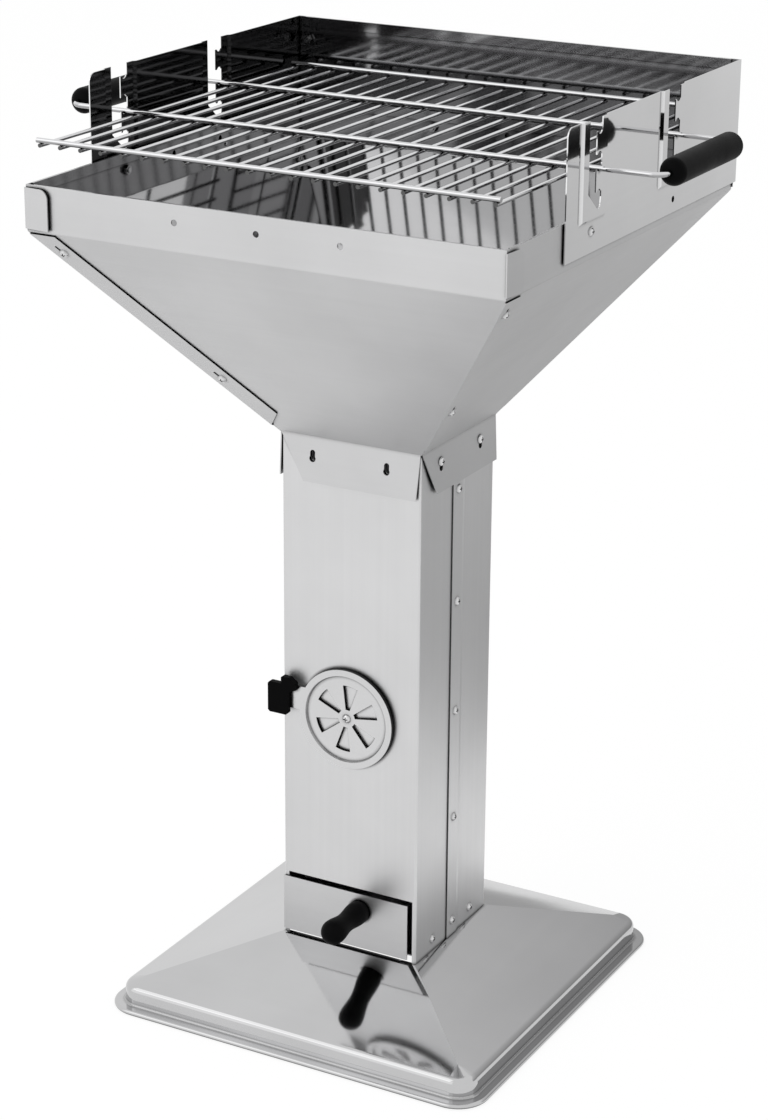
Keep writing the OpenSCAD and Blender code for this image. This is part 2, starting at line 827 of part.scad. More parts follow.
module panel_mask() {
    own = ends_at(0);
    far = ends_at(wrap);
    near = ends_at(-wrap);
    skirt = [[-col_half + skirt_slant, neck_z - skirt_h - over], [col_half - skirt_relief, neck_z - skirt_h - over],
        [col_half, neck_z]];
    rest = concat([for (p = own) p], [for (p = reversed(near)) [-p[0], p[1]]], [[-col_half, neck_z]]);
    polygon(concat(skirt, rest));
    intersection() {
        polygon(concat(far, [for (p = reversed(own)) [0, p[1]]]));
        wrap_bands();
    }
}

// The heights over which a panel goes on round its corner: the seam strip and the rim flap
module wrap_bands() {
    low = neck_z + strip_low * cos(lean);
    translate([0, low]) square([panel_l, fold_z - fold_r - low]);
    translate([0, fold_z + fold_r]) square([panel_l, rim_h - 2 * fold_r - lap_gap]);
}

module strip_mask() {
    low = neck_z + strip_low * cos(lean);
    cut = neck_z + strip_cut * cos(lean);
    top = fold_z - fold_r;
    polygon([[-corner_at(low), low], [strip_w - corner_at(cut), cut], [strip_w - corner_at(top), top],
        [-corner_at(top), top]]);
}

// The rim flap, flat, with its root at the corner
module flap_mask() {
    low = fold_z + fold_r;
    high = rim_z - fold_r - lap_gap;
    translate([-sheet, low]) square([flap_w + sheet, high - low - flap_r]);
    translate([-sheet, low]) square([flap_w + sheet - flap_r, high - low]);
    translate([flap_w - flap_r, high - flap_r]) circle(flap_r);
}

module folded_panel(path) {
    run_along_y(panel_l) sheet_outline(path);
}

module rim_hem() {
    inner = rim_half - 2 * sheet - hem_gap;
    path = [[rim_half, rim_z - rim_hem_h], [rim_half, rim_z], [inner, rim_z], [inner, rim_z - rim_hem_h]];
    run_along_y(2 * (rim_half - hem_end)) sheet_outline(path);
}

// A place on the outside face of the slope, up from the neck and in from the left corner
module on_slope(up, in) {
    out = neck_half + up * sin(lean);
    translate([out, in - out, neck_z + up * cos(lean)]) rotate([0, 90 + lean, 0]) children();
}

module strip_places() {
    for (up = [strip_screw_low, strip_screw_high]) on_slope(up, strip_screw_in) children();
}

seam_angle = atan(sin(lean));

module strip_slot() {
    // Slot that runs up along the seam from the screw
    rotate(180 + seam_angle) {
        translate([0, 0, wrap]) drill(screw_hole_d, 3 * sheet);
        translate([0, -screw_hole_d / 4, wrap - 3 * sheet]) cube([screw_d * strip_slot_share, screw_hole_d / 2, 4 * sheet]);
    }
}

module keyhole() {
    drill(screw_hole_d, 2 * skirt_flare + 2 * sheet);
    translate([keyhole_l, 0, 0]) drill(keyhole_d, 2 * skirt_flare + 2 * sheet);
    translate([0, -screw_hole_d / 2, -2 * skirt_flare - 2 * sheet])
        cube([keyhole_l, screw_hole_d, 2 * skirt_flare + 2 * sheet + over]);
}

module funnel_panel(flap_turn) {
    color(steel) difference() {
        union() {
            intersection() {
                folded_panel(folded(panel_path, fold_r));
                run_along_x(0, panel_l) panel_mask();
            }
            quarter(1) intersection() {
                folded_panel(shifted(panel_path, -wrap));
                run_along_x(0, panel_l) strip_mask();
            }
            quarter(1) translate([rim_half + wrap, -rim_half, 0]) rotate(-flap_turn)
                run_along_x(-sheet, sheet) flap_mask();
            rim_hem();
        }
        for (y = [-rim_hole_pitch, 0, rim_hole_pitch]) face_right(rim_half, y, rim_hole_h) drill(rim_hole_d, 2 * sheet);
        for (y = [-keyhole_x, keyhole_x]) face_right(skirt_face, y, keyhole_z) keyhole();
        strip_places() strip_slot();
        quarter(1) strip_places() strip_slot();
    }
}

module spare_hole() {
    face_right(shield_out, spare_hole_y, fold_z + spare_hole_z) drill(rim_hole_d, shield_out - rim_half + sheet + over);
}

module funnel_right() {
    difference() {
        funnel_panel(0);
        spare_hole();
    }
}

module funnel_back() {
    quarter(1) funnel_panel(0);
}

module funnel_left() {
    difference() {
        quarter(2) funnel_panel(flap_angle);
        mirror([1, 0, 0]) spare_hole();
    }
}

module funnel_front() {
    quarter(3) funnel_panel(flap_angle);
}

strip_grip = wrap + sheet;

module funnel_seam_screws() {
    color(plated) for (turns = [0 : 3]) quarter(turns) strip_places() translate([0, 0, wrap]) screw(strip_grip);
}

module funnel_seam_nuts() {
    color(plated) for (turns = [0 : 3]) quarter(turns) strip_places() translate([0, 0, wrap]) nut(strip_grip);
}

collar_grip = skirt_face - col_in;

module collar_places() {
    left_and_right() for (y = [-keyhole_x, keyhole_x]) face_right(skirt_face, y, keyhole_z) children();
}

module collar_screws() {
    color(plated) collar_places() screw(collar_grip);
}

module collar_nuts() {
    color(plated) collar_places() nut(collar_grip);
}

// Wind shield
module side_outline() {
    r = shield_corner_r;
    back = return_out;
    difference() {
        translate([-shield_front, shield_low]) square([shield_front + back, shield_top - shield_low]);
        translate([-shield_front - over, shield_top - r]) square([r + over, r + over]);
    }
    translate([r - shield_front, shield_top - r]) circle(r);
}

// A raised panel between two heights: sloping edges at both ends and at the bottom
module raised_block(foot_x) {
    for (y = [-slot_y, slot_y]) intersection() {
        translate([0, y, 0]) linear_extrude(shield_top + over) polygon([
            [foot_x - sheet, -raise_half], [foot_x, -raise_half], [foot_x + raise_h, raise_ramp - raise_half],
            [foot_x + raise_h, raise_half - raise_ramp], [foot_x, raise_half], [foot_x - sheet, raise_half]]);
        run_along_y(2 * shield_in) polygon([
            [foot_x - sheet, raise_low], [foot_x, raise_low], [foot_x + raise_h, raise_low + raise_ramp],
            [foot_x + raise_h, shield_top], [foot_x - sheet, shield_top]]);
    }
}

module tooth(rest_z) {
    high = rest_z + horn_h;
    low = rest_z - tooth_h - horn_h;
    difference() {
        translate([tooth_front, low]) square([slot_half - tooth_front + over, high - low]);
        translate([rest_back, rest_z + rest_r]) circle(rest_r);
        translate([rest_back, rest_z - tooth_h - rest_r]) circle(rest_r);
        translate([rest_back, rest_z + rest_r]) square([slot_half, rest_r]);
    }
}

// Outline of a slot about its own middle: a channel in front, teeth at the back
module slot_outline() {
    bottom = rest_low + rest_r;
    difference() {
        union() {
            polygon([[-slot_half, shield_top + over], [-slot_half, bottom + slot_slant],
                [rest_back - rest_r * cos(lean), bottom - rest_r * sin(lean)], [rest_back, bottom], [rest_back + rest_r, bottom],
                [slot_half, bottom + slot_slant / 2], [slot_half, shield_top + over]]);
            translate([rest_back, bottom]) circle(rest_r);
        }
        tooth(rest_low + level_pitch);
        tooth(rest_low + 2 * level_pitch);
    }
}

module side_shield() {
    color(polished) difference() {
        union() {
            difference() {
                union() {
                    run_along_x(shield_in, sheet) side_outline();
                    raised_block(shield_out);
                }
                translate([-over, 0, 0]) raised_block(shield_in);
                raised_block(shield_in);
            }
            translate([shield_out - return_w, return_in, shield_low])
                cube([return_w, sheet, shield_top - shield_low]);
        }
        for (y = [-slot_y, slot_y]) {
            translate([0, y, 0]) run_along_x(rim_half, raise_h + return_w) slot_outline();
        }
        face_right(shield_out, -rim_hole_pitch, rim_hole_h) drill(screw_hole_d, 2 * sheet);
        spare_hole();
        corner_bolt_places() drill(screw_hole_d, 2 * sheet);
    }
}

module corner_bolt_places() {
    for (drop = [corner_bolt_top, corner_bolt_low]) face_back(bolt_x, return_out, shield_top - drop) children();
}

module shield_right() {
    side_shield();
}

module shield_left() {
    mirror([1, 0, 0]) side_shield();
}

module shield_back() {
    hem_in = shield_in - sheet - hem_gap;
    half = shield_in - lap_gap;
    path = [[back_out, shield_low], [back_out, shield_top], [hem_in, shield_top], [hem_in, shield_top - back_hem_h]];
    color(polished) difference() {
        quarter(1) union() {
            run_along_y(2 * half) polygon([[shield_in, shield_low], [back_out, shield_low],
                [back_out, shield_top], [shield_in, shield_top]]);
            run_along_y(2 * (half - hem_end)) sheet_outline([for (i = [1 : 3]) path[i]]);
        }
        for (x = [-rim_hole_pitch, rim_hole_pitch]) face_back(x, back_out, rim_hole_h) drill(screw_hole_d, 2 * sheet);
        both_sides() corner_bolt_places() drill(screw_hole_d, 3 * sheet);
    }
}

rim_grip = shield_out - rim_half + sheet;
corner_grip = return_out - shield_in;

module rim_bolt_places() {
    both_sides() face_right(shield_out, -rim_hole_pitch, rim_hole_h) children();
    for (x = [-rim_hole_pitch, rim_hole_pitch]) face_back(x, back_out, rim_hole_h) children();
}

module shield_screws() {
    color(plated) {
        rim_bolt_places() screw(rim_grip);
        both_sides() corner_bolt_places() screw(corner_grip);
    }
}

module shield_nuts() {
    color(plated) {
        rim_bolt_places() nut(rim_grip);
        both_sides() corner_bolt_places() nut(corner_grip);
    }
}

// Cooking grate
module rod_x(d, length) {
    rotate([0, 90, 0]) cylinder(d = d, h = length, center = true);
}

module rod_y(d, length) {
    rotate([90, 0, 0]) cylinder(d = d, h = length, center = true);
}

grid_l = grid_front + grid_back + 2 * cross_end;

module grate_cross_wires() {
    color(plated) for (i = [0 : cross_wires - 1])
        translate([grid_shift - grid_half + i * cross_pitch, (grid_back - grid_front) / 2, cross_z]) rod_y(cross_d, grid_l);
}

module long_wire(y) {
    color(plated) translate([grid_shift, y, wire_z]) rod_x(wire_d, 2 * (grid_half + wire_end));
}

module grate_front_wire() {
    long_wire(-grid_front);
}

module grate_rear_wire() {
    long_wire(grid_back);
}

module grate_bail() {
    straight = grip_x - bail_r;
    color(plated) translate([0, (bail_front + bail_back) / 2, wire_z]) {
        reach = (bail_back - bail_front) / 2;
        for (side = [-1, 1]) {
            translate([0, side * reach, 0]) rod_x(wire_d, 2 * straight);
            translate([side * grip_x, 0, 0]) rod_y(wire_d, 2 * (reach - bail_r));
        }
        for (turns = [0 : 3]) mirror([turns % 2, 0, 0]) mirror([0, floor(turns / 2), 0])
            translate([straight, reach - bail_r, 0]) rotate_extrude(angle = 90)
                translate([bail_r, 0]) circle(d = wire_d);
    }
}

module grip() {
    r = grip_d / 2;
    rotate([90, 0, 0]) difference() {
        translate([0, 0, -grip_l / 2]) rotate_extrude() {
            square([r - grip_edge_r, grip_l]);
            translate([0, grip_edge_r]) square([r, grip_l - 2 * grip_edge_r]);
            for (end = [grip_edge_r, grip_l - grip_edge_r]) intersection() {
                translate([r - grip_edge_r, end]) circle(grip_edge_r);
                square([r, grip_l]);
            }
        }
        cylinder(d = wire_d + 2 * running_gap, h = grip_l + 2 * over, center = true);
    }
}

module grip_right() {
    color(black) translate([grip_x, (bail_front + bail_back) / 2, wire_z]) grip();
}

module grip_left() {
    color(black) translate([-grip_x, (bail_front + bail_back) / 2, wire_z]) grip();
}

// Charcoal grate
module charcoal_bars() {
    color(plated) for (i = [0 : coal_bars - 1])
        translate([0, i * coal_pitch - coal_span / 2, coal_z]) rod_x(coal_bar_d, coal_w);
}

module charcoal_carriers() {
    color(plated) for (x = [-carrier_x, carrier_x])
        translate([x, 0, coal_z - coal_bar_d]) rod_y(coal_bar_d, carrier_l);
}

foot();
column_front();
column_rear();
column_seam_screws();
column_seam_nuts();
base_screws();
base_nuts();
drawer_runner_left();
drawer_runner_right();
drawer_tray();
drawer_front();
drawer_knob();
knob_screw();
vent_disc();
vent_tab();
vent_washer();
vent_pivot();
vent_nut();
funnel_front();
funnel_right();
funnel_back();
funnel_left();
funnel_seam_screws();
funnel_seam_nuts();
collar_screws();
collar_nuts();
shield_left();
shield_right();
shield_back();
shield_screws();
shield_nuts();
grate_cross_wires();
grate_front_wire();
grate_rear_wire();
grate_bail();
grip_left();
grip_right();
charcoal_bars();
charcoal_carriers();
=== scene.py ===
"""Dresses a park barbecue on a square pedestal: its finishes, the studio and the camera."""

import json
import logging
import math
from dataclasses import dataclass, field
from enum import Enum
from typing import Optional, Union

import bpy
from mathutils import Matrix, Vector

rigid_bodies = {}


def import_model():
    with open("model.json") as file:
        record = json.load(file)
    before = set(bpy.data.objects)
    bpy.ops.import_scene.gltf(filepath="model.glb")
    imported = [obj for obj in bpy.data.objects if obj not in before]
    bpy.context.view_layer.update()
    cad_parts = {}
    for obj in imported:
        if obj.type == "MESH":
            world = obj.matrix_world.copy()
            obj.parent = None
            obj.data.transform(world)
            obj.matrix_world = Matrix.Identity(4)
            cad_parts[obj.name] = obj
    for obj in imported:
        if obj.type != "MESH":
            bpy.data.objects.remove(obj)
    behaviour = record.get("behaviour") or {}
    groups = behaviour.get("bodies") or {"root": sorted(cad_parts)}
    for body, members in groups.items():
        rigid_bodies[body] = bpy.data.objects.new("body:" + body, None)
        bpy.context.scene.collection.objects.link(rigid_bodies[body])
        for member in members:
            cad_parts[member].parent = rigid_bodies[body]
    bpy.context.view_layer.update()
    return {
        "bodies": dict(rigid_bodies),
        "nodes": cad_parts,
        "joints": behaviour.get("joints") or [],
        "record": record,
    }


logging.basicConfig(level=logging.INFO, format="%(message)s")
log = logging.getLogger("barbecue")

Colour = tuple[float, float, float]
Point = tuple[float, float, float]
Fade = tuple[float, float]
Socket = bpy.types.NodeSocket

WHITE = (1.0, 1.0, 1.0, 1.0)
EVEN_STRETCH = (1.0, 1.0, 1.0)

# Where a value starts and ends its change from low to high.
NOISE_FADE = (0.3, 0.7)
# Fades of the painted shade in each seam and slot, and of the painted shade on faces that look down.
PAINTED_SHADE_FADE = (0.55, 0.97)
UNDER_FADE = (-0.1, 0.45)
INWARD_FADE = (-0.002, 0.002)
SIDEWAYS_FADE = (0.3, 0.5)
ENDWAYS_FADE = (0.96, 0.99)

# Octaves of the noises in steel, and how far each moves the gloss.
GRAIN_DETAIL = 4.0
MARKS_DETAIL = 6.0
WAVE_DETAIL = 1.0
STREAK_DETAIL = 3.0
MARKS_SCALE = 9.0
GRAIN_GLOSS = 0.08
INNER_GRAIN_GLOSS = 0.2
STREAK_WIDTH = 8.0

# The same for moulded plastic.
PLASTIC_GRAIN_DETAIL = 2.0
WEAR_DETAIL = 5.0
WEAR_SCALE = 26.0
WEAR_GLOSS = 0.15
WORN_PALENESS = 1.4

# Samples of the occlusion that paints shade into the steel's colour.
PAINTED_SHADE_SAMPLES = 12
MIX_VALUE_INPUTS = (2, 3)
MIX_COLOUR_INPUTS = (6, 7)
MIX_COLOUR_OUTPUT = 2


class Grain(Enum):
    """Direction in which a sheet was rolled, as the noise scale along X, Y and Z."""

    UPRIGHT = (1500.0, 1500.0, 9.0)
    LEVEL = (9.0, 9.0, 1500.0)
    ACROSS = (9.0, 1500.0, 1500.0)
    ALONG = (1500.0, 9.0, 1500.0)
    EVEN = (600.0, 600.0, 600.0)


class Side(Enum):
    """Which faces of a piece a mask picks out."""

    NONE = "none"
    INWARD = "inward"
    SIDEWAYS = "sideways"
    ENDWAYS = "endways"


class NodeGraph:
    """A node tree, with short calls for the nodes that the finishes and the studio share."""

    def __init__(self, owner: Union[bpy.types.Material, bpy.types.World]) -> None:
        """Starts an empty tree.

        Args:
            owner: The material or world that the tree belongs to.
        """
        owner.use_nodes = True
        self.tree = owner.node_tree
        self.tree.nodes.clear()

    def add(self, kind: str) -> bpy.types.Node:
        """Adds a node of the given Blender kind."""
        return self.tree.nodes.new(kind)

    def join(self, source: Socket, target: Socket) -> None:
        """Links an output to an input."""
        self.tree.links.new(source, target)

    def coordinates(self, output: str = "Object") -> Socket:
        """Gives one output of a Texture Coordinate node."""
        return self.add("ShaderNodeTexCoord").outputs[output]

    def split(self, vector: Socket) -> bpy.types.NodeOutputs:
        """Splits a vector into X, Y and Z."""
        node = self.add("ShaderNodeSeparateXYZ")
        self.join(vector, node.inputs[0])
        return node.outputs

    def maths(self, operation: str, first: Socket, second: Union[Socket, float, None] = None) -> Socket:
        """Adds a Math node.

        Args:
            operation: Blender's name for the operation.
            first: The first value.
            second: The second value, a socket or a number.

        Returns:
            The result.
        """
        node = self.add("ShaderNodeMath")
        node.operation = operation
        self.join(first, node.inputs[0])
        if isinstance(second, Socket):
            self.join(second, node.inputs[1])
        elif second is not None:
            node.inputs[1].default_value = second
        return node.outputs[0]

    def spread(self, value: Socket, low: float, high: float, fade: Fade = NOISE_FADE) -> Socket:
        """Maps a value from one range to another.

        Args:
            value: The value to map.
            low: Result at the range's start.
            high: Result at the range's end.
            fade: Values where the range starts and ends.

        Returns:
            The mapped value.
        """
        node = self.add("ShaderNodeMapRange")
        node.inputs["From Min"].default_value = fade[0]
        node.inputs["From Max"].default_value = fade[1]
        node.inputs["To Min"].default_value = low
        node.inputs["To Max"].default_value = high
        self.join(value, node.inputs["Value"])
        return node.outputs["Result"]

    def mix_shaders(self, factor: Socket, first: bpy.types.Node, second: bpy.types.Node) -> Socket:
        """Blends the shaders of two nodes by a factor."""
        node = self.add("ShaderNodeMixShader")
        self.join(factor, node.inputs[0])
        self.join(first.outputs[0], node.inputs[1])
        self.join(second.outputs[0], node.inputs[2])
        return node.outputs[0]

    def seen_directly(self) -> Socket:
        """Gives 1 for rays from the camera, reflections and transmission, and 0 for others."""
        path = self.add("ShaderNodeLightPath").outputs
        both = self.maths("MAXIMUM", path["Is Camera Ray"], path["Is Glossy Ray"])
        return self.maths("MAXIMUM", both, path["Is Transmission Ray"])

    def finish(self, kind: str, surface: Socket) -> None:
        """Joins a shader to an output node of the given kind."""
        self.join(surface, self.add(kind).inputs["Surface"])


class SurfaceGraph(NodeGraph):
    """The node tree of a new material with one Principled shader."""

    def __init__(self, name: str) -> None:
        """Starts the material.

        Args:
            name: The material's name.
        """
        self.material = bpy.data.materials.new(name)
        super().__init__(self.material)
        shader = self.add("ShaderNodeBsdfPrincipled")
        self.inputs = shader.inputs
        self.finish("ShaderNodeOutputMaterial", shader.outputs["BSDF"])

    def noise(self, stretch: Point, scale: float, detail: float) -> Socket:
        """Adds noise in the object's own space.

        Args:
            stretch: Scale along each axis before the noise.
            scale: The noise's own scale.
            detail: Octaves of detail.

        Returns:
            The noise's value, about 0.5 on average.
        """
        mapping = self.add("ShaderNodeMapping")
        mapping.inputs["Scale"].default_value = stretch
        texture = self.add("ShaderNodeTexNoise")
        texture.inputs["Scale"].default_value = scale
        texture.inputs["Detail"].default_value = detail
        self.join(self.coordinates(), mapping.inputs["Vector"])
        self.join(mapping.outputs["Vector"], texture.inputs["Vector"])
        return texture.outputs["Fac"]

    def mix_value(self, factor: Socket, first: Socket, second: Socket) -> Socket:
        """Blends two values by a factor."""
        node = self.add("ShaderNodeMix")
        node.data_type = "FLOAT"
        self.join(factor, node.inputs[0])
        for value, index in zip((first, second), MIX_VALUE_INPUTS):
            self.join(value, node.inputs[index])
        return node.outputs[0]

    def mix_colour(
        self, factor: Socket, first: Union[Socket, Colour], second: Union[Socket, Colour]
    ) -> Socket:
        """Blends two colours by a factor.

        Args:
            factor: 0 for the first colour, 1 for the second.
            first: A colour or a socket.
            second: A colour or a socket.

        Returns:
            The blended colour.
        """
        node = self.add("ShaderNodeMix")
        node.data_type = "RGBA"
        self.join(factor, node.inputs[0])
        for value, index in zip((first, second), MIX_COLOUR_INPUTS):
            if isinstance(value, Socket):
                self.join(value, node.inputs[index])
            else:
                node.inputs[index].default_value = (*value, 1.0)
        return node.outputs[MIX_COLOUR_OUTPUT]

    def shaded(self, colour: Socket, share: Socket) -> Socket:
        """Multiplies a colour by a share."""
        node = self.add("ShaderNodeVectorMath")
        node.operation = "SCALE"
        self.join(colour, node.inputs[0])
        self.join(share, node.inputs["Scale"])
        return node.outputs[0]

    def bump(self, height: Socket, depth: float, below: Optional[Socket] = None) -> Socket:
        """Turns a height into a normal.

        Args:
            height: Height from 0 to 1.
            depth: Depth of the relief in metres.
            below: A normal from a coarser relief.

        Returns:
            The bent normal.
        """
        node = self.add("ShaderNodeBump")
        node.inputs["Strength"].default_value = 1.0
        node.inputs["Distance"].default_value = depth
        self.join(height, node.inputs["Height"])
        if below is not None:
            self.join(below, node.inputs["Normal"])
        return node.outputs["Normal"]

    def painted_shade_openness(self, reach: float) -> Socket:
        """Gives about 1 on open faces and less in seam gaps, slots and under screw heads, as the mask
        of the painted shade in steel.

        Args:
            reach: How far a neighbouring face still counts, in metres.

        Returns:
            How open the spot is.
        """
        node = self.add("ShaderNodeAmbientOcclusion")
        node.samples = PAINTED_SHADE_SAMPLES
        node.inputs["Distance"].default_value = reach
        return node.outputs["AO"]

    def inwardness(self, normal: Socket) -> Socket:
        """Gives less than 0 where a face looks towards the object's upright axis."""
        flat = self.add("ShaderNodeVectorMath")
        flat.operation = "MULTIPLY"
        flat.inputs[1].default_value = (1.0, 1.0, 0.0)
        self.join(self.coordinates(), flat.inputs[0])
        dot = self.add("ShaderNodeVectorMath")
        dot.operation = "DOT_PRODUCT"
        self.join(flat.outputs[0], dot.inputs[0])
        self.join(normal, dot.inputs[1])
        return dot.outputs["Value"]

    def face_mask(self, side: Side) -> Socket:
        """Gives 1 on the faces of a piece that look a certain way.

        Args:
            side: INWARD to the upright axis, SIDEWAYS for across Y, ENDWAYS for along Y.

        Returns:
            The mask.
        """
        normal = self.coordinates("Normal")
        if side is Side.INWARD:
            return self.spread(self.inwardness(normal), 1.0, 0.0, INWARD_FADE)
        along = self.maths("ABSOLUTE", self.split(normal)["Y"])
        if side is Side.SIDEWAYS:
            return self.spread(along, 1.0, 0.0, SIDEWAYS_FADE)
        return self.spread(along, 0.0, 1.0, ENDWAYS_FADE)


@dataclass(frozen=True)
class SteelFinish:
    """Stainless sheet or bar: a metal with rolled grain, slight waves and handling marks, with painted
    shade in each seam and slot, on faces that look down and on faces that a mask picks out.

    Attributes:
        name: The material's name.
        colour: What the metal reflects.
        roughness: Its gloss, from 0 for a mirror.
        grain: Direction of the rolling.
        grain_depth: Depth of the grain in metres.
        wave_depth: Depth of the sheet's waves in metres.
        wave_scale: How many waves go to a metre, about.
        marks: How much handling marks darken and dull it.
        inner_side: Faces that have the inner roughness and the painted shade colour.
        inner_roughness: Gloss of those faces.
        painted_shade_colour: Colour painted on those faces, darker than the metal: painted dark
            reflection on inward faces, painted shade on the vent's sides and the wires' ends.
        painted_shade_reach: Distance over which the painted shade darkens each seam, slot and the sheet
            round screw heads, in metres.
        painted_seam_shade: Share of the colour that the painted shade leaves in a seam.
        streaks: How much rolling streaks vary the colour.
        painted_under_shade: Share of the colour that is left on faces that look down, painted shade and
            painted dark reflection.
    """

    name: str
    colour: Colour
    roughness: float
    grain: Grain = Grain.UPRIGHT
    grain_depth: float = 0.0000005
    wave_depth: float = 0.0004
    wave_scale: float = 5.0
    marks: float = 0.06
    inner_side: Side = Side.NONE
    inner_roughness: float = 0.1
    # The masked faces' colour is painted shade and painted dark reflection.
    painted_shade_colour: Colour = (0.5, 0.5, 0.5)
    # Painted shade: the colour darkens where other faces are close, in each seam, slot and round screw
    # heads.
    painted_shade_reach: float = 0.004
    painted_seam_shade: float = 0.04
    streaks: float = 0.008
    # Painted shade and painted dark reflection on faces that look down.
    painted_under_shade: float = 1.0

    def marked(self, graph: SurfaceGraph, marks: Socket, colour: Colour) -> Socket:
        """Darkens a colour a little where the handling marks are."""
        deeper = tuple(channel * (1.0 - self.marks) for channel in colour)
        return graph.mix_colour(graph.spread(marks, 0.0, 1.0), colour, deeper)

    def shade(self, graph: SurfaceGraph) -> Socket:
        """Makes the share of the colour that is left by painted shade in each seam and slot, by the
        rolling streaks and by painted shade on faces that look down.
        """
        # Painted shade: occlusion darkens the colour in each seam and slot and round screw heads.
        painted_seams = graph.spread(graph.painted_shade_openness(self.painted_shade_reach), self.painted_seam_shade, 1.0, PAINTED_SHADE_FADE)
        broad = tuple(scale / STREAK_WIDTH for scale in self.grain.value)
        noise = graph.noise(broad, 1.0, STREAK_DETAIL)
        streaks = graph.spread(noise, 1.0 - self.streaks, 1.0 + self.streaks)
        share = graph.maths("MULTIPLY", painted_seams, streaks)
        # Painted shade and painted dark reflection: faces that look down are darkened.
        if self.painted_under_shade < 1.0:
            upward = graph.split(graph.coordinates("Normal"))["Z"]
            under = graph.spread(upward, self.painted_under_shade, 1.0, UNDER_FADE)
            share = graph.maths("MULTIPLY", share, under)
        return share

    def build(self) -> bpy.types.Material:
        """Makes the material.

        Returns:
            A metal whose colour, gloss and relief vary over the surface.
        """
        graph = SurfaceGraph(self.name)
        graph.inputs["Metallic"].default_value = 1.0
        grain = graph.noise(self.grain.value, 1.0, GRAIN_DETAIL)
        marks = graph.noise(EVEN_STRETCH, MARKS_SCALE, MARKS_DETAIL)
        waves = graph.noise(EVEN_STRETCH, self.wave_scale, WAVE_DETAIL)
        low, high = self.roughness * (1.0 - GRAIN_GLOSS), self.roughness * (1.0 + GRAIN_GLOSS)
        dulling = self.marks * self.roughness
        tint = self.marked(graph, marks, self.colour)
        gloss = graph.maths(
            "ADD", graph.spread(grain, low, high), graph.spread(marks, -0.5 * dulling, dulling)
        )
        if self.inner_side is not Side.NONE:
            inside = graph.face_mask(self.inner_side)
            low = self.inner_roughness * (1.0 - INNER_GRAIN_GLOSS)
            high = self.inner_roughness * (1.0 + INNER_GRAIN_GLOSS)
            # The masked faces take a darker colour, painted shade and painted dark reflection; their
            # roughness is their own.
            tint = graph.mix_colour(inside, tint, self.marked(graph, marks, self.painted_shade_colour))
            gloss = graph.mix_value(inside, gloss, graph.spread(grain, low, high))
        graph.join(graph.shaded(tint, self.shade(graph)), graph.inputs["Base Color"])
        graph.join(gloss, graph.inputs["Roughness"])
        coarse = graph.bump(waves, self.wave_depth)
        graph.join(graph.bump(grain, self.grain_depth, coarse), graph.inputs["Normal"])
        return graph.material


@dataclass(frozen=True)
class PlasticFinish:
    """Moulded plastic with a fine spark-eroded grain.

    Attributes:
        name: The material's name.
        colour: The plastic's colour where it isn't worn.
        roughness: Its gloss.
        shine: Strength of its reflections.
        grain_scale: Fineness of the grain.
        grain_depth: Depth of the grain in metres.
    """

    name: str
    colour: Colour
    roughness: float
    shine: float
    grain_scale: float = 1400.0
    grain_depth: float = 0.00003

    def build(self) -> bpy.types.Material:
        """Makes the material.

        Returns:
            A dielectric with a fine grain and slight wear in its gloss.
        """
        graph = SurfaceGraph(self.name)
        graph.inputs["Specular IOR Level"].default_value = self.shine
        grain = graph.noise(EVEN_STRETCH, self.grain_scale, PLASTIC_GRAIN_DETAIL)
        wear = graph.noise(EVEN_STRETCH, WEAR_SCALE, WEAR_DETAIL)
        paler = tuple(channel * WORN_PALENESS for channel in self.colour)
        tint = graph.mix_colour(graph.spread(wear, 0.0, 1.0), self.colour, paler)
        low, high = self.roughness * (1.0 - WEAR_GLOSS), self.roughness * (1.0 + WEAR_GLOSS)
        graph.join(tint, graph.inputs["Base Color"])
        graph.join(graph.spread(wear, low, high), graph.inputs["Roughness"])
        graph.join(graph.bump(grain, self.grain_depth), graph.inputs["Normal"])
        return graph.material


Finish = Union[SteelFinish, PlasticFinish]

FOOT_STEEL = SteelFinish(
    "foot_steel",
    (0.55, 0.55, 0.555),
    0.07,
    Grain.LEVEL,
    wave_depth=0.0005,
    wave_scale=7.0,
)
COLUMN_STEEL = SteelFinish("column_steel", (0.69, 0.69, 0.695), 0.4, Grain.UPRIGHT, streaks=0.012)
INNER_STEEL = SteelFinish("inner_steel", (0.42, 0.42, 0.43), 0.34, Grain.ACROSS, marks=0.15)
DRAWER_STEEL = SteelFinish("drawer_front_steel", (0.63, 0.63, 0.635), 0.4, Grain.ACROSS)
VENT_STEEL = SteelFinish(
    "vent_steel",
    (0.66, 0.66, 0.665),
    0.24,
    Grain.ACROSS,
    inner_side=Side.SIDEWAYS,
    inner_roughness=0.4,
    # The disc's rim wall and the openings' sides are painted nearly black, painted shade.
    painted_shade_colour=(0.03, 0.03, 0.03),
)
FUNNEL_STEEL = SteelFinish(
    "funnel_steel",
    (0.6, 0.6, 0.605),
    0.38,
    Grain.LEVEL,
    inner_side=Side.INWARD,
    inner_roughness=0.06,
    # The bowl's inner faces are painted darker, a painted dark reflection; their high polish is real.
    painted_shade_colour=(0.36, 0.36, 0.365),
)
SHIELD_STEEL = SteelFinish(
    "shield_steel",
    (0.72, 0.72, 0.725),
    0.05,
    Grain.ALONG,
    wave_depth=0.0002,
    inner_side=Side.INWARD,
    inner_roughness=0.06,
    # The inner faces are painted nearly black, a painted dark reflection.
    painted_shade_colour=(0.045, 0.045, 0.046),
)
